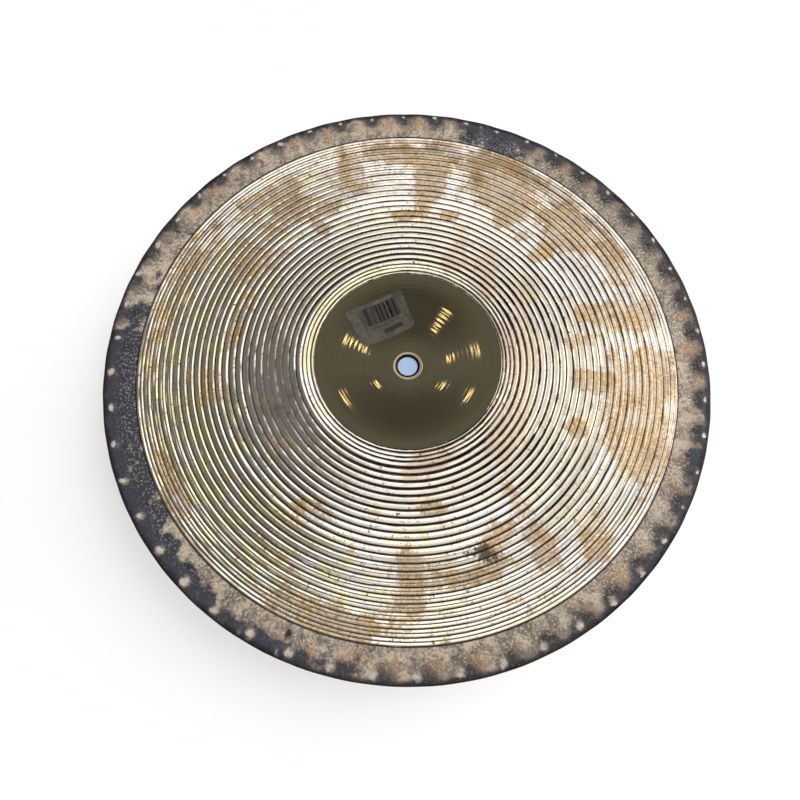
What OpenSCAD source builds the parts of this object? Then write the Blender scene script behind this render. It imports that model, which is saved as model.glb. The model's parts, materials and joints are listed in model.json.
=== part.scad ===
// Crash cymbal lying on its bell, hollow side up, as one bronze plate with a paper price label.
// Origin: on the axis of the hole, at the lowest face of the bell. +Z is the axis of the plate.

/* [Plate] */
// Diameter over the outer edge
plate_d = 355.6; // [340:1:370]
// Diameter of the lathed face, where the raw rim begins
lathed_d = 321.2; // [300:1:325]
// Diameter of the bell where it meets the bow
bell_d = 114.4; // [100:1:125]
// Depth of the bell
bell_depth = 15.5; // [8:0.5:22]
// How far out the bell's wall is steepest, 1 for halfway
bell_bias = 1.12; // [1:0.02:1.4]
// Radius of the shallow curve of the bow
bow_radius = 835; // [600:5:1500]
// Upward slope of the rim in degrees
rim_slope = 11.2; // [6:0.2:16]

/* [Sheet] */
// Thickness at the bell
bell_t = 1.4; // [1:0.1:2]
// Thickness at the rim
rim_t = 1.1; // [0.9:0.1:1.8]
// Bevel at the outer edge and around the hole
edge_bevel = 0.25; // [0.1:0.05:0.35]

/* [Hole] */
// Diameter of the stand hole
hole_d = 12.7; // [9:0.1:16]
// Diameter of the flat seat around the hole
seat_d = 18.6; // [18:0.2:26]

/* [Lathing] */
// Number of broad grooves from the bow to the lathing's end
groove_count = 24; // [8:1:30]
// Radius of the first broad groove
groove_first_r = 68.5; // [67:0.5:75]
// Width of a groove
groove_w = 1.3; // [0.6:0.1:1.6]
// Depth of a groove
groove_depth = 0.16; // [0.05:0.01:0.25]
// Distance from the bell to the first groove beside it
close_gap = 2.5; // [1.5:0.1:3]
// Distance from that groove to the second one beside the bell
close_pitch = 5.1; // [2.5:0.1:5.5]

/* [Rippled rim] */
// Number of hammered flutes on each face of the rim
flute_count = 50; // [20:1:50]
// Length of a flute in from the outer edge
flute_len = 12; // [6:0.5:13]
// How far the ripple rises and falls at the outer edge
ripple = 0.35; // [0.15:0.05:0.4]
// Share of the pitch that one flute takes
flute_share = 0.8; // [0.6:0.05:0.85]

/* [Label] */
// Length of the label
label_l = 37; // [25:1:40]
// Width of the label
label_w = 23; // [15:1:24]
// Thickness of the label
label_t = 0.15; // [0.1:0.05:0.3]
// Radius of the label's corners
label_corner = 3; // [1:0.5:5]
// Distance of the label's middle from the axis
label_at_r = 33.3; // [31:0.1:34]
// Direction of the label's middle seen from the axis, in degrees
label_at_angle = 120; // [0:1:359]
// Turn of the label's long side from +X, in degrees
label_turn = 26; // [15:1:40]

/* [Hidden] */
$fn = 180;

plate_r = plate_d / 2;
lathed_r = lathed_d / 2;
bell_r = bell_d / 2;
hole_r = hole_d / 2;
seat_r = seat_d / 2;
flute_r0 = plate_r - flute_len;
groove_pitch = (lathed_r - groove_first_r) / (groove_count - 1);
bell_steps = 24;
rim_steps = 4;
probe = 0.05;
eps = 0.5;

// Rise of each zone of the hollow face above the seat, out from the hole
function bell_rise(r) = bell_depth * (1 - cos(180 * pow((r - seat_r) / (bell_r - seat_r), bell_bias))) / 2;
function bow_rise(r) = bell_depth + pow(r - bell_r, 2) / (2 * bow_radius);
function rim_rise(r) = bow_rise(lathed_r) + (r - lathed_r) * tan(rim_slope);
function rise(r) = r <= seat_r ? 0 : r <= bell_r ? bell_rise(r) : r <= lathed_r ? bow_rise(r) : rim_rise(r);

// Thickness falls evenly from the bell to the rim; the outer face keeps that distance
function wall(r) = r <= bell_r ? bell_t : bell_t + (rim_t - bell_t) * (r - bell_r) / (plate_r - bell_r);
function steepness(r) = (rise(r + probe) - rise(r - probe)) / (2 * probe);
function inner_z(r) = bell_t + rise(r);
function outer_z(r) = r <= seat_r ? 0 : inner_z(r) - wall(r) * sqrt(1 + pow(steepness(r), 2));

// Room that the ripple takes above and below the plain rim
function swell(r) = ripple * (r - flute_r0) / flute_len;

grooves = concat(
    [bell_r + close_gap, bell_r + close_gap + close_pitch],
    [for (i = [0 : groove_count - 1]) groove_first_r + i * groove_pitch]
);
bell_radii = [for (i = [0 : bell_steps]) seat_r + (bell_r - seat_r) * i / bell_steps];
outer_bow_radii = [for (i = [len(grooves) - 1 : -1 : 0]) grooves[i] + groove_pitch / 4];
rim_radii = [for (i = [0 : rim_steps]) flute_r0 + (flute_len - edge_bevel) * i / rim_steps];

inner_line = concat(
    [[hole_r, bell_t - edge_bevel], [hole_r + edge_bevel, bell_t]],
    [for (r = bell_radii) [r, inner_z(r)]],
    [for (c = grooves) for (k = [-1 : 1])
        [c + k * groove_w / 2, inner_z(c + k * groove_w / 2) - (k == 0 ? groove_depth : 0)]],
    [for (r = rim_radii) [r, inner_z(r) + swell(r)]]
);
edge_line = [
    [plate_r, inner_z(plate_r) + ripple - edge_bevel],
    [plate_r, outer_z(plate_r) - ripple + edge_bevel]
];
outer_line = concat(
    [for (i = [rim_steps : -1 : 0]) [rim_radii[i], outer_z(rim_radii[i]) - swell(rim_radii[i])]],
    [for (r = outer_bow_radii) [r, outer_z(r)]],
    [for (i = [bell_steps : -1 : 0]) [bell_radii[i], outer_z(bell_radii[i])]],
    [[hole_r + edge_bevel, 0], [hole_r, edge_bevel]]
);

// Flutes: each is the shallow segment that a cylinder lying along the rim takes out of one face
flute_angle = 360 / flute_count;
flute_half_w = PI * plate_r / flute_count * flute_share;
flute_depth = 2 * ripple;
flute_cut_r = (pow(flute_half_w, 2) + pow(flute_depth, 2)) / (2 * flute_depth);
flute_room = PI * flute_r0 / flute_count - eps;

// z_in and z_out are the heights of the flute's bottom at its two ends, side is 1 above and -1 below
module flute(z_in, z_out, side) {
    reach = flute_len + 2 * eps;
    translate([flute_r0, 0, z_in])
        rotate([0, -atan2(z_out - z_in, flute_len), 0])
            intersection() {
                translate([-eps, 0, side * flute_cut_r])
                    rotate([0, 90, 0])
                        cylinder(r = flute_cut_r, h = reach);
                translate([-eps, -flute_room, side > 0 ? -eps : -3 * flute_depth - eps])
                    cube([reach, 2 * flute_room, 3 * flute_depth + 2 * eps]);
            }
}

module flutes() {
    for (i = [0 : flute_count - 1]) {
        rotate(i * flute_angle)
            flute(inner_z(flute_r0), inner_z(plate_r) - ripple, 1);
        rotate((i + 0.5) * flute_angle)
            flute(outer_z(flute_r0), outer_z(plate_r) + ripple, -1);
    }
}

module cymbal_plate() {
    color("darkgoldenrod")
        difference() {
            rotate_extrude()
                polygon(concat(inner_line, edge_line, outer_line));
            flutes();
        }
}

// The sheet that lies on the hollow face of the bell, before it is cut to the label's outline
module bell_skin(thickness) {
    lifted = [for (i = [bell_steps : -1 : 1])
        [bell_radii[i], inner_z(bell_radii[i]) + thickness * sqrt(1 + pow(steepness(bell_radii[i]), 2))]];
    laid = [for (i = [1 : bell_steps]) [bell_radii[i], inner_z(bell_radii[i])]];
    rotate_extrude()
        polygon(concat(laid, lifted));
}

module label_outline(height) {
    half_l = label_l / 2 - label_corner;
    half_w = label_w / 2 - label_corner;
    for (x = [-half_l, half_l], y = [-half_w, half_w])
        translate([x, y, 0])
            cylinder(r = label_corner, h = height);
    translate([-label_l / 2, -half_w, 0])
        cube([label_l, 2 * half_w, height]);
    translate([-half_l, -label_w / 2, 0])
        cube([2 * half_l, label_w, height]);
}

module price_label() {
    color("gainsboro")
        intersection() {
            bell_skin(label_t);
            rotate(label_at_angle)
                translate([label_at_r, 0, 0])
                    rotate(label_turn - label_at_angle)
                        label_outline(bell_t + bell_depth + eps);
        }
}

cymbal_plate();
price_label();
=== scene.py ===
"""Crash cymbal, hollow side up, resting on its bell. Metres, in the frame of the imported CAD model."""

import json
import math

import bpy
import numpy as np
from mathutils import Matrix, Vector


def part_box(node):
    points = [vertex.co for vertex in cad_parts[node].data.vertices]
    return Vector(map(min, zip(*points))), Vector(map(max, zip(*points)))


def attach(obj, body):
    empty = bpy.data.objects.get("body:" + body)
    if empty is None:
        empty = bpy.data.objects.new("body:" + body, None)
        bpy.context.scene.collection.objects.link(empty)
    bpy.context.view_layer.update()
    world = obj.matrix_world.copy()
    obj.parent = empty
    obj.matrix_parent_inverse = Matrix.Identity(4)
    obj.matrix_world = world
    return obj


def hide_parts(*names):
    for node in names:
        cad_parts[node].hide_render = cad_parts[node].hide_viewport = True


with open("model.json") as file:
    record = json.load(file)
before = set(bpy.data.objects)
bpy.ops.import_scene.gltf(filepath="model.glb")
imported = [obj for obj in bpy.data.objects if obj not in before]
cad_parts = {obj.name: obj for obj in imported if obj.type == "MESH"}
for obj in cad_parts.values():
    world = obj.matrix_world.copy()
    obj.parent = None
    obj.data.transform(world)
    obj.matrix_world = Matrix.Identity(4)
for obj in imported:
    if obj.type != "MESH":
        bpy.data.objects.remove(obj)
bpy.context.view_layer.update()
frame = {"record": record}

MM = 0.001
TAU = 2 * math.pi

# ---------------------------------------------------------------- sizes, as in the CAD model
PLATE_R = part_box("cymbal_plate")[1][0]
HOLE_R = next(m["dims"]["r_mm"] for m in frame["record"]["mounts"] if m["name"] == "stand_hole") * MM
LATHED_R = 160.6 * MM
BELL_R = 57.2 * MM
SEAT_R = 9.3 * MM
BELL_DEPTH = 15.5 * MM
BOW_RADIUS = 835 * MM
RIM_SLOPE = math.tan(math.radians(11.2))
BELL_T = 1.4 * MM
RIM_T = 1.1 * MM

GROOVE_COUNT = 24
GROOVE_FIRST_R = 68.5 * MM
GROOVE_PITCH = (LATHED_R - GROOVE_FIRST_R) / (GROOVE_COUNT - 1)
CLOSE_GAP = 2.5 * MM
CLOSE_PITCH = 5.1 * MM
BELL_BIAS = 1.12
WAVES = 50

# ---------------------------------------------------------------- sizes that differ from the CAD model
GROOVE_DEPTH = 0.28 * MM
EDGE_BEVEL = 0.3 * MM
SEAT_LIP = 0.25 * MM


# ---------------------------------------------------------------- the plate's section
def bow_rise(r):
    return BELL_DEPTH + (r - BELL_R) ** 2 / (2 * BOW_RADIUS)


def rise(r):
    """Height of the hollow face above the flat seat round the hole."""
    r = np.asarray(r, float)
    share = (np.clip(r, SEAT_R, BELL_R) - SEAT_R) / (BELL_R - SEAT_R)
    bell = BELL_DEPTH * (1 - np.cos(np.pi * share**BELL_BIAS)) / 2
    rim = bow_rise(LATHED_R) + (r - LATHED_R) * RIM_SLOPE
    return np.where(r <= BELL_R, bell, np.where(r <= LATHED_R, bow_rise(r), rim))


def inner_z(r):
    return BELL_T + rise(r)


def outer_z(r):
    r = np.asarray(r, float)
    step = 0.05 * MM
    slope = (rise(r + step) - rise(r - step)) / (2 * step)
    wall = BELL_T + (RIM_T - BELL_T) * np.clip((r - BELL_R) / (PLATE_R - BELL_R), 0, 1)
    return np.where(r <= SEAT_R, 0, inner_z(r) - wall * np.sqrt(1 + slope**2))


# ---------------------------------------------------------------- meshes
def revolve(name, section, segments, displace=None, sharp=(), values=None):
    """A closed ring swept from a closed section of (r, z) points.

    displace(x, y, r, angle, z) gives extra height, sharp names the section's points that are creases,
    and values holds named numbers for each point of the section.
    """
    section = np.asarray(section, float)
    count = len(section)
    turn = np.arange(segments) * TAU / segments
    r, z = section[:, 0][:, None], section[:, 1][:, None]
    x, y, z = r * np.cos(turn), r * np.sin(turn), z + 0 * turn
    if displace:
        z = z + displace(x, y, np.broadcast_to(r, x.shape), np.broadcast_to(turn, x.shape), z)
    verts = np.stack([x, y, z], -1).reshape(-1, 3)
    i, j = np.meshgrid(np.arange(count), np.arange(segments), indexing="ij")
    i2, j2 = (i + 1) % count, (j + 1) % segments
    quads = np.stack([i * segments + j, i * segments + j2, i2 * segments + j2, i2 * segments + j], -1)
    mesh = bpy.data.meshes.new(name)
    mesh.from_pydata(verts.tolist(), [], quads.reshape(-1, 4).tolist())
    mesh.polygons.foreach_set("use_smooth", np.ones(len(mesh.polygons), bool))
    if len(sharp):
        ends = np.empty(2 * len(mesh.edges), np.int32)
        mesh.edges.foreach_get("vertices", ends)
        ring = ends.reshape(-1, 2) // segments
        flags = (ring[:, 0] == ring[:, 1]) & np.isin(ring[:, 0], list(sharp))
        mesh.edges.foreach_set("use_edge_sharp", flags)
    for key, numbers in (values or {}).items():
        spread = np.repeat(np.asarray(numbers, np.float32), segments)
        mesh.attributes.new(key, "FLOAT", "POINT").data.foreach_set("value", spread)
    mesh.update()
    piece = bpy.data.objects.new(name, mesh)
    bpy.context.scene.collection.objects.link(piece)
    return piece


def smooth_noise(x, y, size, seed):
    """Gentle bumps of about that size, from -1 to 1."""
    total = np.zeros(np.shape(x))
    rng = np.random.default_rng(seed)
    waves = 14
    for _ in range(waves):
        a, phase = rng.uniform(0, TAU), rng.uniform(0, TAU)
        k = TAU / size * rng.uniform(0.6, 1.4)
        total = total + np.sin(k * (x * math.cos(a) + y * math.sin(a)) + phase)
    return total / math.sqrt(waves)


def sheet_wobble(x, y, r):
    """The slight unevenness that hammering leaves in the sheet, fading out at the bell and the edge."""
    fade = np.clip((r - BELL_R) / (12 * MM), 0, 1) * np.clip((LATHED_R + 8 * MM - r) / (12 * MM), 0, 1)
    return 0.02 * MM * fade * smooth_noise(x, y, 26 * MM, 3)


def chatter(r, a):
    """A different unevenness for each ring, from -1 to 1: the tool skips as it cuts."""
    total = 0 * a
    for k in (5, 9, 16, 29, 47, 73):
        total = total + np.sin(k * a + 9100 * k * r + 1.7 * k)
    return np.clip(total / 2.2, -1, 1)


def patch(r, a, radius, angle, depth, span):
    """A soft-edged patch, 1 in its middle: half size depth along the radius in mm, span in degrees."""
    turn = (np.degrees(a) - angle + 180) % 360 - 180
    far = ((r / MM - radius) / depth) ** 2 + (turn / span) ** 2
    return np.exp(-0.7 * far**1.4)


def paint(piece, key, weight):
    """Store weight(r, angle) at each point of the piece's hollow side under the name key."""
    mesh = piece.data
    at = np.empty(3 * len(mesh.vertices))
    mesh.vertices.foreach_get("co", at)
    x, y, z = at.reshape(-1, 3).T
    r, a = np.hypot(x, y), np.arctan2(y, x)
    # counted from the face before the hammer, since a dent reaches almost as low as the outer side
    undented, half_sheet = z - hammer_dents(r, a), 0.6 * MM
    numbers = np.where(undented > inner_z(r) - half_sheet, weight(r, a), 0)
    mesh.attributes.new(key, "FLOAT", "POINT").data.foreach_set("value", numbers.astype(np.float32))


# ---------------------------------------------------------------- bell
def make_seat():
    """The bright ring worn flat by washers, whose inner edge rolls down into the hole."""
    roll_w, roll_h = 1.5 * MM, 1.1 * MM
    turn = np.linspace(0, np.pi / 2, 9)
    top = [(HOLE_R + roll_w * (1 - math.cos(t)), BELL_T - roll_h * (1 - math.sin(t))) for t in turn]
    outside = SEAT_R + SEAT_LIP
    top += [(SEAT_R - 0.35 * MM, BELL_T), (SEAT_R, BELL_T + 0.10 * MM), (outside, BELL_T + 0.01 * MM)]
    low = [(outside, 0), (HOLE_R + SEAT_LIP, 0), (HOLE_R, SEAT_LIP)]
    return revolve("seat_ring", top + low, segments=160, sharp={len(top) - 4, len(top) - 1, len(top)})


def make_bell():
    """The pressed bell, whose spinning left faint rings that fade out at the seat and at the bow."""
    ripple_pitch, ripple_height = 2.7 * MM, 0.017 * MM
    start = SEAT_R + SEAT_LIP
    top_r = np.linspace(start, BELL_R, 170)
    ripple = ripple_height * np.sin(TAU * (top_r - SEAT_R) / ripple_pitch)
    ripple *= np.clip((top_r - SEAT_R) / (6 * MM), 0, 1) * np.clip((BELL_R - top_r) / (3 * MM), 0, 1)
    top = list(zip(top_r, inner_z(top_r) + ripple))
    low_r = np.linspace(BELL_R, start, 40)
    low = list(zip(low_r, outer_z(low_r)))
    sharp = {0, len(top) - 1, len(top), len(top) + len(low) - 1}
    return revolve("bell", top + low, segments=288, sharp=sharp)


# ---------------------------------------------------------------- bow
def grooves():
    """(middle radius, width, depth) of each groove, out from the bell, where they are cut wider."""
    wide, slim = 2.7 * MM, 1.15 * MM
    close_w, shallow = 1.7 * MM, GROOVE_DEPTH * 0.9
    first = BELL_R + CLOSE_GAP
    found = [
        (BELL_R + 0.55 * MM, 1.1 * MM, shallow),
        (first, close_w, GROOVE_DEPTH),
        (first + CLOSE_PITCH / 2, 1.4 * MM, shallow),
        (first + CLOSE_PITCH, close_w, GROOVE_DEPTH),
    ]
    for i in range(GROOVE_COUNT):
        share = i / (GROOVE_COUNT - 1)
        middle = GROOVE_FIRST_R + i * GROOVE_PITCH
        vary = 1 + 0.22 * math.sin(2.4 * i + 1)
        width = slim + (wide - slim) * (1 - share) ** 1.6
        found.append((middle, width, GROOVE_DEPTH * vary * (1.2 - 0.2 * share)))
        if 0.5 < share < 1:
            found.append((middle + GROOVE_PITCH / 2, 0.9 * MM, GROOVE_DEPTH * 0.8 * share**4))
    return found


def worn(r, a):
    """Where the tool hardly touched the sheet, so that the grooves are faint."""
    return patch(r, a, 80, 197, 20, 40)


def make_bow():
    """The lathed bow. dirt_and_shade says how much soiling and painted shade each point holds, and floors
    how deep it is cut.
    """
    top, dirt_and_shade, floors = [(BELL_R, float(inner_z(BELL_R)) - 0.02 * MM)], [0.8], [0.0]
    sharp = {0}
    cuts = grooves()
    # the grooves by the bell lean: their inner edge stands up and their outer edge lies lower
    tipped, tip = 4, 0.06 * MM
    slim = cuts[-1][1]
    for n, (middle, width, depth) in enumerate(cuts):
        outward = float(np.clip((middle - 85 * MM) / (25 * MM), 0, 1))
        outward *= min(1, depth / (0.7 * GROOVE_DEPTH))
        ease = (0.2 + 0.9 * outward) * MM
        # further out, a sloping shoulder rounds the land off beside the groove's outer edge
        shoulder = ease * math.tan(math.radians(6.5)) * outward
        for k in (-1, 0, 1):
            r = middle + k * width / 2
            if r > LATHED_R:
                continue
            if k < 1:
                sharp.add(len(top))
            lean = -k * tip if n < tipped else -shoulder * (k == 1)
            top.append((r, float(inner_z(r)) + lean - (depth if k == 0 else 0)))
            dirt_and_shade.append(min(1.0, 1.3 * depth / GROOVE_DEPTH) * (width / slim) ** 0.5 if k == 0 else 0.0)
            floors.append(depth if k == 0 else 0.0)
        if n < len(cuts) - 1:
            start, end = middle + width / 2, cuts[n + 1][0] - cuts[n + 1][1] / 2
            ease = min(ease, 0.55 * (end - start))
            for r, crown in ((start + ease, 0), ((start + ease + end) / 2, 0.006 * MM)):
                top.append((r, float(inner_z(r)) + crown))
                dirt_and_shade.append(0.0)
                floors.append(0.0)
    rings, turning = 61, 0.03 * MM
    low_r = np.linspace(LATHED_R, BELL_R, rings)
    wave = turning * (np.arange(rings) % 2)
    low = list(zip(low_r, outer_z(low_r) + wave))
    sharp |= {len(top), len(top) + len(low) - 1}
    dirt_and_shade += [0.0] * len(low)
    floors = np.array(floors + [0.0] * len(low))[:, None]

    def uneven(x, y, r, a, z):
        faint = worn(r, a)
        return sheet_wobble(x, y, r) + floors * (0.84 * faint + 0.3 * (1 - 0.55 * faint) * chatter(r, a))

    return revolve("bow", top + low, segments=384, displace=uneven, sharp=sharp, values={"dirt_and_shade": dirt_and_shade})


# ---------------------------------------------------------------- rim
def wave_phase(a):
    """Where an angle falls in its wave, from -0.5 to 0.5, with 0 at the hammer's blow."""
    first = math.radians(4.5)
    return ((a - first) * WAVES / TAU + 0.5) % 1 - 0.5


def hammer_dents(r, a):
    """Rounded dents struck at even steps round the rim, with the edge left in a slight wave."""
    phase = wave_phase(a)
    across = phase * TAU * r / WAVES
    dent_depth, crest_height, edge_drop = 0.85 * MM, 0.35 * MM, 0.3 * MM

    def hump(middle, width, length):
        return np.exp(-(across**2) / (2 * width**2) - (r - middle) ** 2 / (2 * length**2))

    dent = hump(169 * MM, 3.8 * MM, 3.2 * MM)
    crest = hump(173.6 * MM, 1.9 * MM, 1.5 * MM)
    edge = np.clip((r - 164 * MM) / (14 * MM), 0, 1) ** 2
    return crest_height * crest - dent_depth * dent - edge_drop * edge * (0.5 + 0.5 * np.cos(TAU * phase))


def make_rim():
    """The raw rim with its bevelled edge, struck all round."""
    top_r = np.linspace(LATHED_R, PLATE_R - EDGE_BEVEL, 34)
    top = list(zip(top_r, inner_z(top_r)))
    edge_top = float(inner_z(PLATE_R)) - EDGE_BEVEL
    edge_low = float(outer_z(PLATE_R)) + EDGE_BEVEL
    side = [(PLATE_R, edge_top), (PLATE_R, edge_low)]
    low_r = np.linspace(PLATE_R - EDGE_BEVEL, LATHED_R, 20)
    low = list(zip(low_r, outer_z(low_r)))
    sharp = {0, len(top) + len(side) + len(low) - 1}

    def uneven(x, y, r, a, z):
        return hammer_dents(r, a) + sheet_wobble(x, y, r)

    return revolve("rim", top + side + low, segments=900, displace=uneven, sharp=sharp)


# ---------------------------------------------------------------- label
LABEL_L, LABEL_W = 37 * MM, 23 * MM
LABEL_CORNER = 3 * MM
PAPER_T, PAPER_LIFT = 0.1 * MM, 0.13 * MM
LABEL_MIDDLE = 33.3 * MM * np.array([math.cos(math.radians(120)), math.sin(math.radians(120))])
LABEL_TURN = math.radians(26)


def label_outline(columns, rows):
    """The label's points laid flat: their place along and across it, and how far along its curl they are."""
    u, v = np.meshgrid(np.linspace(-1, 1, columns), np.linspace(-1, 1, rows))
    half_l, half_w = LABEL_L / 2, LABEL_W / 2
    across = v * half_w
    # the side edges pull in at the corners, so that the outline is a rounded rectangle
    over = np.clip(np.abs(across) - (half_w - LABEL_CORNER), 0, LABEL_CORNER)
    pull = LABEL_CORNER - np.sqrt(np.maximum(LABEL_CORNER**2 - over**2, 0))
    ragged_edge = 0.35 * MM * np.sin(9 * v + 1.0) + 0.2 * MM * np.sin(23 * v)
    torn = (2.6 * MM * np.clip((v + 1) / 2, 0, 1) ** 1.5 + ragged_edge) * np.clip(-u, 0, 1) ** 3
    along = u * (half_l - pull) - torn
    return along, across, np.clip((u + v - 1.45) / 0.55, 0, 1)


def make_label():
    """A thin sheet that follows the bell, creased, with one corner curled up."""
    columns, rows = 90, 56
    along, across, curled = label_outline(columns, rows)
    x = LABEL_MIDDLE[0] + along * math.cos(LABEL_TURN) - across * math.sin(LABEL_TURN)
    y = LABEL_MIDDLE[1] + along * math.sin(LABEL_TURN) + across * math.cos(LABEL_TURN)
    base = inner_z(np.hypot(x, y))
    curl = 1.5 * MM * curled**2
    crease = 0.05 * MM * smooth_noise(along, across, 9 * MM, 5)
    lift = PAPER_LIFT + crease + curl
    top = np.stack([x, y, base + lift], -1).reshape(-1, 3)
    low = np.stack([x, y, base + lift - PAPER_T], -1).reshape(-1, 3)
    n = rows * columns
    faces = []
    for j in range(rows - 1):
        for i in range(columns - 1):
            a = j * columns + i
            faces.append((a, a + 1, a + columns + 1, a + columns))
            faces.append((n + a, n + a + columns, n + a + columns + 1, n + a + 1))
    border = list(range(columns))
    border += [j * columns + columns - 1 for j in range(1, rows)]
    border += [(rows - 1) * columns + i for i in range(columns - 2, -1, -1)]
    border += [j * columns for j in range(rows - 2, 0, -1)]
    for k, a in enumerate(border):
        b = border[(k + 1) % len(border)]
        faces.append((b, a, n + a, n + b))
    mesh = bpy.data.meshes.new("label_sheet")
    mesh.from_pydata(np.vstack([top, low]).tolist(), [], faces)
    mesh.polygons.foreach_set("use_smooth", np.ones(len(mesh.polygons), bool))
    for key, flat in (("along", along), ("across", across)):
        spread = np.tile(flat.ravel() / MM, 2).astype(np.float32)
        mesh.attributes.new(key, "FLOAT", "POINT").data.foreach_set("value", spread)
    mesh.update()
    piece = bpy.data.objects.new("label_sheet", mesh)
    bpy.context.scene.collection.objects.link(piece)
    return piece


# ---------------------------------------------------------------- materials
class Graph:
    """Short ways to build a material's nodes."""

    def __init__(self, name, metal=1.0):
        self.mat = bpy.data.materials.new(name)
        self.mat.use_nodes = True
        self.nodes, self.links = self.mat.node_tree.nodes, self.mat.node_tree.links
        self.shader = self.nodes["Principled BSDF"]
        self.shader.inputs["Metallic"].default_value = metal
        self.place = self.put("TexCoord").outputs["Object"]

    def put(self, kind, inputs=None, **settings):
        node = self.nodes.new("ShaderNode" + kind)
        for key, value in settings.items():
            setattr(node, key, value)
        for key, value in (inputs or {}).items():
            self.join(node.inputs[key], value)
        return node

    def join(self, socket, value):
        if isinstance(value, bpy.types.NodeSocket):
            self.links.new(value, socket)
        elif socket.type == "RGBA":
            socket.default_value = (*value, 1)
        else:
            socket.default_value = value

    def math(self, operation, a, b=0.0, c=0.0):
        return self.put("Math", {0: a, 1: b, 2: c}, operation=operation).outputs[0]

    def blend(self, a, share, b):
        """share of a and the rest of b, for two noises."""
        return self.math("MULTIPLY_ADD", a, share, self.math("MULTIPLY", b, 1 - share))

    def vector(self, operation, a, b=(0, 0, 0)):
        node = self.put("VectorMath", {0: a, 1: b}, operation=operation)
        return node.outputs["Value" if operation == "LENGTH" else "Vector"]

    def step(self, value, low, high, start=0.0, end=1.0):
        """Smooth change from start to end as the value goes from low to high."""
        spans = {"Value": value, "From Min": low, "From Max": high, "To Min": start, "To Max": end}
        return self.put("MapRange", spans, interpolation_type="SMOOTHSTEP").outputs[0]

    def mix(self, share, a, b, blend="MIX"):
        node = self.put("Mix", {0: share, 6: a, 7: b}, data_type="RGBA", blend_type=blend)
        return node.outputs[2]

    def noise(self, vector, scale, detail=2.0, rough=0.5):
        spans = {"Vector": vector, "Scale": scale, "Detail": detail, "Roughness": rough}
        return self.put("TexNoise", spans).outputs["Fac"]

    def value(self, key):
        return self.put("Attribute", attribute_name=key).outputs["Fac"]

    def polar(self, around, outward):
        """A vector for noise drawn out along the rings or the spokes: cells per radian, cells per mm."""
        flat = self.vector("MULTIPLY", self.place, (1, 1, 0))
        turn = self.vector("SCALE", self.vector("NORMALIZE", flat))
        turn.node.inputs["Scale"].default_value = around
        reach = self.math("MULTIPLY", self.radius(), outward)
        up = self.put("CombineXYZ", {"Z": reach}).outputs[0]
        return self.vector("ADD", turn, up)

    def radius(self):
        """Distance from the axis in mm."""
        flat = self.vector("MULTIPLY", self.place, (1 / MM, 1 / MM, 0))
        return self.vector("LENGTH", flat)

    def finish(self, colour, rough, bumps=()):
        """Join colour and roughness, and stack the bumps, each (height, depth in mm)."""
        self.join(self.shader.inputs["Base Color"], colour)
        self.join(self.shader.inputs["Roughness"], rough)
        normal = None
        for height, depth in bumps:
            spans = {"Height": height, "Strength": 1.0, "Distance": depth * MM}
            if normal:
                spans["Normal"] = normal
            normal = self.put("Bump", spans).outputs[0]
        if normal:
            self.join(self.shader.inputs["Normal"], normal)
        return self.mat


SILVER = (0.88, 0.82, 0.76)
CREAM = (0.84, 0.75, 0.62)
PINK = (0.80, 0.62, 0.47)
YELLOW = (0.92, 0.82, 0.52)
GOLD = (0.64, 0.395, 0.155)
BROWN = (0.30, 0.19, 0.10)
GRIME_AND_SHADE = (0.034, 0.023, 0.014)

# stains on the bow's hollow side: radius mm, angle, half depth mm, half span in degrees, strength
GOLD_STAINS = (
    (104, 5, 7, 3, 0.7), (115, 15, 6, 3, 0.7), (130, 12, 11, 3.5, 0.85), (146, 10, 8, 3.5, 0.75),
    (112, 40, 10, 3, 0.85), (138, 40, 13, 8, 0.7), (149, 25, 8, 6, 0.6), (113, 48, 5, 2, 0.6),
    (121, 57, 10, 3.5, 0.85), (142, 64, 17, 9, 0.85), (104, 75, 4, 3, 0.7), (128, 83, 23, 4, 0.9),
    (101, 91, 5, 5, 0.8), (147, 92, 7, 10, 0.6), (138, 107, 14, 4, 0.55), (107, 122, 6, 2.5, 0.8),
    (117, 117, 4, 5, 0.7), (128, 128, 7, 8, 0.5), (146, 128, 7, 10, 0.45), (106, 138, 4, 4, 0.5),
    (115, 149, 11, 7, 0.5), (152, 154, 9, 8, 0.35), (107, 169, 6, 9, 0.5), (153, 175, 7, 11, 0.3),
    (118, 190, 9, 6, 0.45), (90, 213, 11, 8, 0.45), (153, 211, 6, 7, 0.5), (106, 240, 7, 6, 0.5),
    (155, 254, 8, 10, 0.7), (128, 270, 17, 3, 0.8), (92, 279, 4, 6, 0.85), (115, 296, 6, 4, 0.7),
    (126, 291, 9, 3, 0.55), (131, 283, 4, 8, 0.6), (98, 305, 13, 3, 0.5), (132, 303, 12, 3, 0.5),
    (150, 312, 8, 4, 0.5), (108, 335, 8, 3, 0.7), (143, 336, 17, 5, 0.85), (136, 349, 15, 10, 0.75),
    (110, 352, 10, 3, 0.9), (148, 356, 10, 5, 0.7),
)
PINK_STAINS = (
    (68, 20, 14, 50, 0.7), (85, 30, 12, 6, 0.6), (74, 321, 11, 13, 1.0), (72, 357, 12, 7, 0.7),
    (84, 50, 8, 12, 0.5), (66, 285, 8, 20, 0.5), (95, 65, 8, 5, 0.4),
)
BROWN_STAINS = (
    (149, 48, 9, 2.5, 0.8), (142, 69, 15, 3, 0.5), (150, 335, 10, 3, 0.5), (82, 205, 18, 12, 0.3),
    (154, 72, 7, 42, 0.8), (132, 12, 8, 1.5, 0.4), (136, 348, 8, 3, 0.4), (84, 320, 5, 8, 0.3),
)
YELLOW_STAINS = ((60.5, 160, 4, 40, 1.0), (62, 95, 3, 30, 0.6), (135, 200, 30, 70, 0.5))
PITTED_SPOTS = ((122, 289.5, 5, 2.2, 0.9), (118, 286, 3, 2, 0.5), (127, 292, 3, 2, 0.5))


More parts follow.
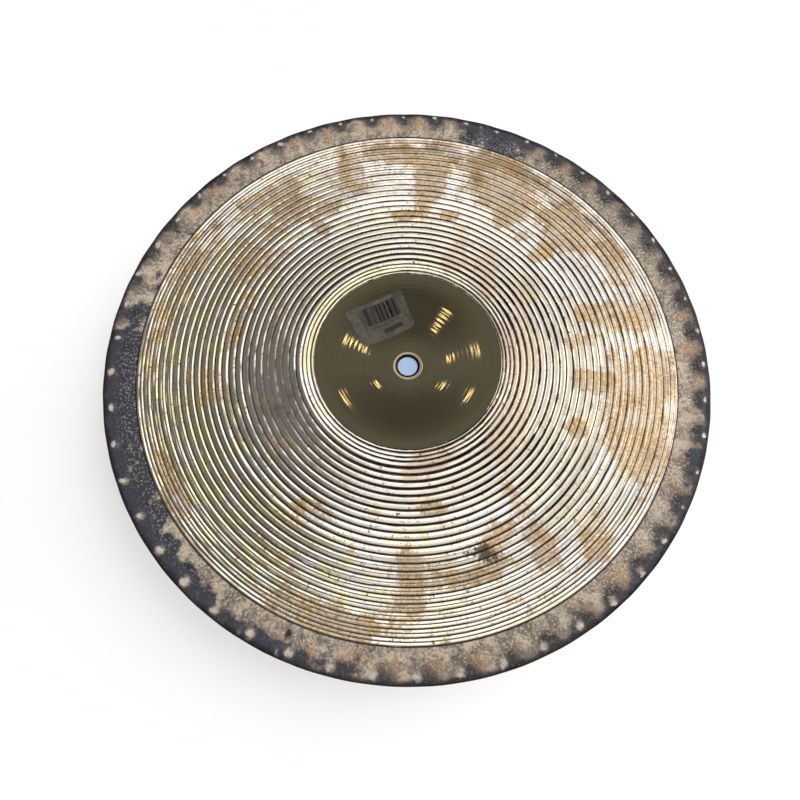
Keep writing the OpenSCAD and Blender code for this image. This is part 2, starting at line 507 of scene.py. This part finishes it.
def stain_sum(stains):
    """A weight function for paint: 1 where any of the stains is strongest, 0 away from them all."""
    def weight(r, a):
        bare = 1.0
        for radius, angle, depth, span, strength in stains:
            bare = bare * (1 - strength * patch(r, a, radius, angle, depth, span))
        return 1 - bare
    return weight


def gold_tarnish(r, a):
    """The gold stains over a thin film that grows outward."""
    return 0.26 * np.clip((r / MM - 85) / 35, 0, 1) + stain_sum(GOLD_STAINS)(r, a)


def ragged(graph, mask, noise, spread=0.2):
    """The mask with an edge broken up by noise, and thin spots inside."""
    shifted = graph.math("MULTIPLY_ADD", noise, 3.0, -1.5)
    return graph.step(graph.math("ADD", mask, shifted), 0.5 - spread, 0.5 + spread)


def bow_bronze():
    """Lathed bronze, silvery where bare, with gold, pink, yellow and brown tarnish, and grooves darkened by
    soiling and painted shade.
    """
    g = Graph("bow_bronze")
    spokes = g.noise(g.polar(14, 0.07), 1.0, 4.0, 0.65)
    # each land between two grooves has a tarnish of its own
    past_first = g.math("SUBTRACT", g.radius(), GROOVE_FIRST_R / MM)
    land = g.math("FLOOR", g.math("DIVIDE", past_first, GROOVE_PITCH / MM))
    shift = g.put("CombineXYZ", {"Z": g.math("MULTIPLY", land, 5.3)}).outputs[0]
    by_land = g.noise(g.vector("ADD", g.polar(10, 0), shift), 1.0, 3.0, 0.6)
    rings = g.noise(g.polar(2.2, 1.1), 1.0, 3.0, 0.6)
    blots = g.noise(g.place, 90, 4.0, 0.6)
    grain = g.noise(g.polar(70, 1.1), 1.0, 3.0, 0.7)
    fine = g.math("MULTIPLY_ADD", by_land, 0.30, g.math("MULTIPLY", grain, 0.25))
    mottle = g.math("MULTIPLY_ADD", spokes, 0.45, fine)

    cream = g.blend(by_land, 0.4, g.noise(g.place, 16, 3.0, 0.6))
    colour = g.mix(g.step(cream, 0.42, 0.58), SILVER, CREAM)
    pink = ragged(g, g.value("pink"), g.noise(g.place, 45, 3.0, 0.6), 0.4)
    colour = g.mix(g.math("MULTIPLY", pink, 0.75), colour, PINK)
    yellow = ragged(g, g.value("yellow"), blots, 0.4)
    colour = g.mix(yellow, colour, YELLOW)
    gold = ragged(g, g.value("gold"), mottle)
    depth = g.step(g.blend(grain, 0.5, blots), 0.40, 0.58, 0.45, 1.0)
    speck = g.step(g.noise(g.place, 620, 3.0, 0.6), 0.46, 0.60, 1.0, 0.30)
    colour = g.mix(g.math("MULTIPLY", gold, g.math("MULTIPLY", depth, speck)), colour, GOLD)
    colour = g.mix(g.math("MULTIPLY", gold, g.step(spokes, 0.52, 0.68, 0.0, 0.3)), colour, BROWN)
    brown = ragged(g, g.value("brown"), mottle)
    colour = g.mix(g.math("MULTIPLY", brown, 0.55), colour, BROWN)
    streak = g.step(rings, 0.35, 0.65, 0.80, 1.08)
    tint = g.put("CombineColor", {0: streak, 1: streak, 2: streak}).outputs[0]
    colour = g.mix(1.0, colour, tint, "MULTIPLY")
    spot = ragged(g, g.value("rot"), g.noise(g.place, 420, 3.0, 0.7), 0.25)
    colour = g.mix(g.math("MULTIPLY", spot, 0.75), colour, (0.10, 0.085, 0.06))
    # groove floors darkened by soiling and by painted shade
    groove_shade_and_grime = g.math("MULTIPLY", g.value("dirt_and_shade"), g.math("MULTIPLY_ADD", g.value("worn"), -0.58, 1.0))
    groove_shade_and_grime = g.step(groove_shade_and_grime, 0.42, 0.74)
    colour = g.mix(g.math("MULTIPLY", groove_shade_and_grime, 0.95), colour, GRIME_AND_SHADE)

    rough = g.step(gold, 0.0, 1.0, 0.13, 0.28)
    g.join(g.shader.inputs["Metallic"], g.math("MULTIPLY_ADD", gold, -0.18, 1.0))
    rough = g.math("MAXIMUM", rough, g.step(pink, 0.0, 1.0, 0.13, 0.28))
    rough = g.math("MAXIMUM", rough, g.step(spot, 0.0, 1.0, 0.0, 0.6))
    lathe = g.noise(g.polar(0.6, 5.0), 1.0, 2.0, 0.6)
    return g.finish(colour, rough, ((lathe, 0.010), (blots, 0.04), (grain, 0.012), (spot, 0.03)))


def rim_bronze():
    """Raw hammered bronze: mottled beige, heat-coloured, with painted shade in the dents and on the black
    edge, blue-black oxide that partly paints a dark reflection, and painted highlights on the crests.
    """
    g = Graph("rim_bronze")
    grain = g.noise(g.place, 750, 3.0, 0.7)
    blots = g.noise(g.place, 560, 4.0, 0.7)
    clouds = g.noise(g.place, 90, 4.0, 0.6)
    smudge = g.noise(g.polar(26, 0.12), 1.0, 4.0, 0.6)
    colour = g.mix(g.step(g.blend(smudge, 0.6, blots), 0.42, 0.58), (0.34, 0.27, 0.22), (1.0, 0.82, 0.63))
    colour = g.mix(g.step(clouds, 0.50, 0.62, 0.0, 0.5), colour, (0.38, 0.34, 0.32))
    tan = ragged(g, g.value("tan"), g.blend(clouds, 0.5, blots), 0.4)
    colour = g.mix(g.math("MULTIPLY", tan, 0.7), colour, (0.80, 0.47, 0.25))
    # painted shade in the dents, on the right and along the edge
    shade = g.math("MULTIPLY", g.value("shade"), g.step(smudge, 0.35, 0.6, 0.65, 1.15))
    colour = g.mix(g.step(shade, 0.1, 0.9), colour, (0.085, 0.075, 0.080))
    # blue-black oxide whose dark colour partly paints a dark reflection
    navy = ragged(g, g.value("navy"), clouds, 0.2)
    colour = g.mix(navy, colour, (0.080, 0.083, 0.100))
    # a dark band of painted shade along the outer edge
    border = g.step(g.math("MULTIPLY_ADD", clouds, 5.0, g.radius()), 176.8, 179.4)
    colour = g.mix(g.math("MULTIPLY", border, 0.9), colour, (0.030, 0.030, 0.034))
    # beige painted highlights on the lit side of each crest
    facet_highlight = g.math("MULTIPLY", g.value("facet_highlight"), g.step(blots, 0.35, 0.6, 0.6, 1.1))
    colour = g.mix(g.step(facet_highlight, 0.15, 0.8), colour, (0.86, 0.72, 0.60))
    # painted highlights on the crests, coloured as bright bronze
    bare = g.step(g.math("MULTIPLY_ADD", blots, 0.9, g.value("bare")), 0.62, 1.15)
    colour = g.mix(bare, colour, (0.95, 0.84, 0.72))
    pits = g.step(grain, 0.40, 0.46, 1.0, 0.0)
    colour = g.mix(g.math("MULTIPLY", pits, 0.35), colour, (0.05, 0.04, 0.04))
    # painted highlights: bright sparkle specks in the inner band
    shine = g.step(g.noise(g.place, 800, 2.0, 0.6), 0.56, 0.60)
    shine = g.math("MULTIPLY", shine, g.step(g.radius(), 174, 165, 0.1, 0.9))
    shine = g.math("MULTIPLY", shine, g.step(navy, 0.0, 1.0, 1.0, 0.35))
    colour = g.mix(shine, colour, (1.0, 0.88, 0.70))
    # the edge itself near black: painted shade
    edge = g.step(g.radius(), 176.5, 177.1)
    colour = g.mix(edge, colour, (0.03, 0.03, 0.035))
    seam = g.step(g.radius(), 161.2, 160.8)
    colour = g.mix(g.math("MULTIPLY", seam, 0.85), colour, GRIME_AND_SHADE)
    rough = g.step(navy, 0.0, 1.0, 0.40, 0.16)
    bright = g.math("MAXIMUM", facet_highlight, g.math("MAXIMUM", bare, shine))
    # the raw patina and the painted highlights scatter light: only the smooth navy stretches are full metal
    metal = g.math("MULTIPLY", g.step(navy, 0.0, 1.0, 0.35, 1.0), g.step(bright, 0.0, 1.0, 1.0, 0.3))
    g.join(g.shader.inputs["Metallic"], metal)
    return g.finish(colour, rough, ((blots, 0.14), (grain, 0.035)))


def bell_bronze():
    """Smooth olive bronze with a light haze and a few specks."""
    g = Graph("bell_bronze")
    rings = g.noise(g.polar(0.5, 1.2), 1.0, 3.0, 0.55)
    haze = g.noise(g.place, 45, 3.0, 0.6)
    colour = g.mix(g.step(rings, 0.3, 0.7), (0.50, 0.44, 0.275), (0.56, 0.49, 0.31))
    colour = g.mix(g.step(haze, 0.45, 0.8, 0.0, 0.35), colour, (0.50, 0.47, 0.36))
    specks = g.step(g.noise(g.place, 800, 2.0, 0.6), 0.69, 0.74)
    colour = g.mix(specks, colour, (0.2, 0.16, 0.1))
    rough = g.step(haze, 0.3, 0.8, 0.06, 0.13)
    fine = g.noise(g.polar(0.3, 5.0), 1.0, 2.0, 0.6)
    return g.finish(colour, rough, ((fine, 0.002), (haze, 0.02)))


def seat_bronze():
    """Bronze turned in fine rings, with painted shade down in the hole."""
    g = Graph("seat_bronze")
    rings = g.noise(g.polar(1.0, 3.0), 1.0, 3.0, 0.6)
    colour = g.mix(g.step(rings, 0.3, 0.7), (0.46, 0.36, 0.24), (0.74, 0.62, 0.44))
    # a near-black ring of painted shade where the edge rolls down into the hole
    colour = g.mix(g.step(g.radius(), 8.3, 7.6), colour, GRIME_AND_SHADE)
    return g.finish(colour, g.step(rings, 0.3, 0.7, 0.22, 0.36), ((rings, 0.02),))


def worn_paper():
    """Scuffed paper, painted grey as white paper in shade, printed with generic bars, a line and a plain
    band, in mm along and across.
    """
    g = Graph("label_paper", 0.0)
    along, across = g.value("along"), g.value("across")
    scuff = g.noise(g.place, 260, 4.0, 0.65)
    # the paper's grey tone is painted shade: white paper lying dim in the bell
    colour = g.mix(g.step(scuff, 0.35, 0.7), (0.31, 0.29, 0.24), (0.52, 0.485, 0.41))

    def inside(value, low, high, soft=0.25):
        above, below = g.step(value, low - soft, low + soft), g.step(value, high + soft, high - soft)
        return g.math("MULTIPLY", above, below)

    cell = g.math("FLOOR", g.math("MULTIPLY", along, 2.6))
    chance = g.put("TexWhiteNoise", {"W": cell}, noise_dimensions="1D").outputs["Value"]
    even = g.math("PINGPONG", cell, 1.0)
    bars = g.math("LESS_THAN", chance, g.math("MULTIPLY_ADD", even, 0.65, 0.2))
    code = g.math("MULTIPLY", inside(along, -13.0, 13.0), inside(across, -1.2, 9.2))
    code = g.math("MULTIPLY", bars, code)
    line = g.math("MULTIPLY", inside(along, -12.0, 12.0), inside(across, -3.2, -2.6))
    band = g.math("MULTIPLY", inside(along, -1.5, 11.5, 0.6), inside(across, -8.0, -5.6, 0.6))
    small = g.math("MAXIMUM", g.math("MULTIPLY", line, 0.5), g.math("MULTIPLY", band, 0.7))
    ink = g.math("MAXIMUM", code, small)
    ink = g.math("MULTIPLY", ink, g.step(scuff, 0.3, 0.5, 0.6, 1.0))
    ink = g.math("MULTIPLY", ink, g.step(along, -14.0, -4.0, 0.45, 1.0))
    colour = g.mix(ink, colour, (0.028, 0.026, 0.024))
    return g.finish(colour, 0.6, ((scuff, 0.06),))


def matte_floor():
    """Pale and plain, but for a blue disc of painted shade just under the hole, since the photographed hole
    looks blue.
    """
    g = Graph("floor_white", 0.0)
    tone = g.step(g.noise(g.place, 3, 2.0), 0.3, 0.7)
    colour = g.mix(tone, (0.81, 0.81, 0.815), (0.83, 0.83, 0.835))
    # a blue-grey disc of painted shade where the floor shows through the hole
    under = g.step(g.radius(), 9, 8)
    return g.finish(g.mix(under, colour, (0.33, 0.43, 0.62)), 0.9)


# ---------------------------------------------------------------- where the rim is marked
def left_share(a):
    """1 on the left and at the bottom of the plate, 0 opposite: the marks are larger there."""
    return np.clip(0.5 + 0.9 * np.cos(a - math.radians(215)), 0, 1)


def rim_tan(r, a):
    """Heat-coloured spots in the middle of the band, half a wave from each blow, no two alike."""
    half_wave = math.pi / WAVES
    phase = wave_phase(a + half_wave)
    spot = np.round((a + half_wave) * WAVES / TAU - phase)
    wide, middle = 0.19 + 0.06 * np.sin(1.9 * spot), 170 + 2 * np.sin(2.6 * spot + 1)
    size = np.exp(-0.5 * (phase / wide) ** 2 - 0.5 * ((r / MM - middle) / 4.2) ** 2)
    clean = stain_sum(((170, 68, 20, 9, 1.0), (170, 192, 20, 34, 1.0)))(r, a)
    return size * (1 - clean) * np.clip(0.6 + 0.5 * np.sin(1.3 * spot) * np.sin(0.37 * spot + 1), 0, 1)


def rim_shade(r, a):
    """Painted shade inside each dent; on the left it lies past the blow, on its far side. The right of the
    plate and the band by the edge get painted shade too.
    """
    past = 0.27 * left_share(a) * TAU / WAVES
    size = np.exp(-0.5 * (wave_phase(a - past) / 0.21) ** 2 - 0.5 * ((r / MM - 174) / 3.8) ** 2)
    right_side_shade = stain_sum(((168, 45, 16, 34, 0.40), (168, -5, 16, 25, 0.22), (170, -50, 16, 25, 0.30)))(r, a)
    return np.clip(size + right_side_shade + 0.6 * np.clip((r / MM - 174) / 3, 0, 1), 0, 1)


def rim_facet_highlight(r, a):
    """Beige facets of painted highlight on the inner side of each crest, where the light catches them,
    strongest at the bottom of the plate.
    """
    share = np.clip(1.6 * np.cos(a - math.radians(262)) - 0.3, 0, 1)
    across, along = wave_phase(a - 0.04 * TAU / WAVES) / 0.085, (r / MM - 173.4) / 2.0
    return 0.85 * share * np.exp(-0.5 * across**2 - 0.5 * along**2)


def rim_crest_glint(r, a):
    """Painted highlights: bright spots on the crests by the edge, no two alike."""
    share = left_share(a)
    blow = np.round(a * WAVES / TAU - wave_phase(a))
    depth = (0.65 + 0.3 * share) * (1 + 0.25 * np.sin(2.3 * blow))
    wide = (0.042 + 0.013 * share) * (1 + 0.3 * np.sin(1.1 * blow + 2))
    middle = 175.2 - 1.0 * share + 0.6 * np.sin(1.7 * blow)
    slant = 0.02 * np.sin(2.9 * blow) * (r / MM - middle)
    across, along = (wave_phase(a) + slant) / wide, (r / MM - middle) / depth
    return np.exp(-0.5 * across**2 - 0.5 * along**2)


def rim_navy(r, a):
    """Smooth blue-black oxide, in a few stretches and along the edge; its dark colour is partly a painted
    dark reflection.
    """
    stretches = (
        (167, 186, 14, 20, 1.0), (169, 202, 12, 16, 1.0), (174, 220, 7, 14, 1.0),
        (174, 248, 4, 14, 0.8), (168, 68, 12, 8, 0.9), (175, 312, 5, 14, 0.7),
        (175, 340, 5, 12, 0.6), (176, 20, 4, 20, 0.5), (176, 110, 3, 30, 0.5),
    )
    return stain_sum(stretches)(r, a)


# ---------------------------------------------------------------- pieces
seat = make_seat()
bell = make_bell()
bow = make_bow()
rim = make_rim()
label = make_label()
for piece in (seat, bell, bow, rim, label):
    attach(piece, "root")
    node, slot = ("price_label", "label_paper") if piece == label else ("cymbal_plate", "bronze")
    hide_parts(node)
paint(bow, "worn", worn)
paint(bow, "gold", gold_tarnish)
paint(bow, "pink", stain_sum(PINK_STAINS))
paint(bow, "brown", stain_sum(BROWN_STAINS))
paint(bow, "yellow", stain_sum(YELLOW_STAINS))
paint(bow, "rot", stain_sum(PITTED_SPOTS))
paint(rim, "tan", rim_tan)
paint(rim, "shade", rim_shade)
paint(rim, "bare", rim_crest_glint)
paint(rim, "facet_highlight", rim_facet_highlight)
paint(rim, "navy", rim_navy)
seat.data.materials.append(seat_bronze())
bell.data.materials.append(bell_bronze())
bow.data.materials.append(bow_bronze())
rim.data.materials.append(rim_bronze())
label.data.materials.append(worn_paper())

# ---------------------------------------------------------------- floor, camera, lights
scene = bpy.context.scene
scene.view_settings.view_transform = "Standard"


def add_floor():
    mesh = bpy.data.meshes.new("floor")
    half = 3.0
    corners = [(-half, -half, 0), (half, -half, 0), (half, half, 0), (-half, half, 0)]
    mesh.from_pydata(corners, [], [(0, 1, 2, 3)])
    floor = bpy.data.objects.new("floor", mesh)
    scene.collection.objects.link(floor)
    mesh.materials.append(matte_floor())
    return floor


def add_camera():
    """The photograph's view: from above the near side, tilted about 17 degrees off the plate's axis."""
    data = bpy.data.cameras.new("camera")
    data.lens = 22.5
    data.sensor_width = 36
    data.shift_x = -0.0035
    data.shift_y = 0.000375
    camera = bpy.data.objects.new("camera", data)
    scene.collection.objects.link(camera)
    forward = Vector((0.0112, 0.2914, -0.9565)).normalized()
    up = Vector((-0.0017, 0.9566, 0.2914))
    right = forward.cross(up).normalized()
    up = right.cross(forward)
    turn = Matrix((right, up, -forward)).transposed()
    camera.matrix_world = Matrix.Translation((-0.0067, -0.1147, 0.3017)) @ turn.to_4x4()
    scene.camera = camera


def only_for(light, *pieces):
    """Let the light fall on these pieces alone."""
    group = bpy.data.collections.new(light.name + "_lights")
    for piece in pieces:
        group.objects.link(piece)
    light.light_linking.receiver_collection = group


COOL = (0.98, 0.98, 1.0)
WARM = (1.0, 0.98, 0.94)
LAMP = (1, 0.8, 0.48)


def area_light(name, place, aim, size, radiance, colour):
    """A rectangular light at place, facing aim, whose energy follows from its size and radiance."""
    data = bpy.data.lights.new(name, "AREA")
    data.shape = "RECTANGLE"
    data.size, data.size_y = size
    data.color = colour
    data.energy = radiance * math.pi * size[0] * size[1]
    light = bpy.data.objects.new(name, data)
    light.location = place
    light.rotation_mode = "QUATERNION"
    light.rotation_quaternion = (Vector(aim) - Vector(place)).to_track_quat("-Z", "Y")
    scene.collection.objects.link(light)
    return light


floor = add_floor()
add_camera()

card = area_light("ceiling_card", (0.83, 0.68, 1.5), (0.83, 0.68, 0), (1.95, 1.46), 0.74, COOL)
only_for(card, seat, bow, rim, label)
strip = area_light("bright_strip", (1.15, 0.48, 1.48), (1.15, 0.48, 0), (0.9, 0.9), 2.2, WARM)
only_for(strip, seat, bow, rim)
wing = area_light("right_wing", (3.0, 0.5, 1.6), (0, 0, 0), (2.0, 1.8), 1.2, WARM)
only_for(wing, bow, rim)
hot = area_light("hot_strip", (0.07, 0.57, 1.49), (0.07, 0.57, 0), (0.28, 0.72), 0.8, WARM)
only_for(hot, bow)
# low walls of light round the plate, which only show when it is seen from the side
front = area_light("front_wall", (0, -2.9, 0.85), (0, 0, 0), (5.0, 1.7), 0.75, WARM)
only_for(front, seat, bell, bow, rim)
for name, x, y in (("left_wall", -3.0, 0.0), ("back_wall", 0.0, 3.0), ("right_wall", 3.0, -0.6)):
    wall = area_light(name, (x, y, 0.56), (0, 0, 0), (4.5, 0.9), 0.6, WARM)
    only_for(wall, seat, bow, rim)
corner = area_light("corner_card", (-0.24, 0.95, 1.5), (-0.24, 0.95, 0), (0.2, 0.6), 0.2, WARM)
only_for(corner, bow)
left_card = area_light("left_card", (-0.75, 0.4, 1.5), (-0.75, 0.4, 0), (1.1, 1.4), 0.55, (0.98, 0.98, 1.02))
only_for(left_card, rim)


def add_sun(name, direction, energy, angle, shadow):
    data = bpy.data.lights.new(name, "SUN")
    data.energy = energy
    data.color = (0.985, 0.99, 1.0)
    data.angle = math.radians(angle)
    data.use_shadow = shadow
    sun = bpy.data.objects.new(name, data)
    sun.rotation_mode = "QUATERNION"
    sun.rotation_quaternion = Vector(direction).to_track_quat("-Z", "Y")
    scene.collection.objects.link(sun)
    only_for(sun, floor)


add_sun("floor_sun", (-0.75, -0.45, -0.7), 2.1, 55, True)
add_sun("floor_fill", (0, 0, -1), 2.2, 10, False)

# small lamps that glint in the bell: degrees from straight up, and direction
LAMPS = ((41, 155), (30, 210), (43, 12), (50, 57), (52, 122))
LAMP_DISTANCE = 2.0
for n, (off, azimuth) in enumerate(LAMPS):
    o, a = math.radians(off), math.radians(azimuth)
    out, height = LAMP_DISTANCE * math.sin(o), LAMP_DISTANCE * math.cos(o)
    place = (out * math.cos(a), out * math.sin(a), height)
    lamp = area_light(f"lamp_{n}", place, (0, 0, 0), (0.24, 0.10), 3, LAMP)
    only_for(lamp, bell)


def add_world():
    """White to the camera, and a dim room in reflections, brightest in a band across it."""
    world = bpy.data.worlds.new("studio")
    scene.world = world
    world.use_nodes = True
    nodes, links = world.node_tree.nodes, world.node_tree.links
    room = nodes["Background"]
    side = nodes.new("ShaderNodeSeparateXYZ")
    links.new(nodes.new("ShaderNodeTexCoord").outputs["Generated"], side.inputs[0])
    shifted = nodes.new("ShaderNodeMath")
    shifted.operation = "SUBTRACT"
    shifted.inputs[1].default_value = 0.35
    links.new(side.outputs["Y"], shifted.inputs[0])
    off_band = nodes.new("ShaderNodeMath")
    off_band.operation = "ABSOLUTE"
    links.new(shifted.outputs[0], off_band.inputs[0])
    fade = nodes.new("ShaderNodeMapRange")
    for key, number in (("From Min", 0.1), ("From Max", 0.6), ("To Min", 0.17), ("To Max", 0.088)):
        fade.inputs[key].default_value = number
    links.new(off_band.outputs[0], fade.inputs["Value"])
    room.inputs["Color"].default_value = (1.0, 0.99, 0.93, 1)
    links.new(fade.outputs[0], room.inputs["Strength"])
    seen = nodes.new("ShaderNodeBackground")
    seen.inputs["Color"].default_value = (1, 1, 1, 1)
    mix = nodes.new("ShaderNodeMixShader")
    links.new(nodes.new("ShaderNodeLightPath").outputs["Is Camera Ray"], mix.inputs[0])
    links.new(room.outputs[0], mix.inputs[1])
    links.new(seen.outputs[0], mix.inputs[2])
    links.new(mix.outputs[0], nodes["World Output"].inputs["Surface"])


add_world()
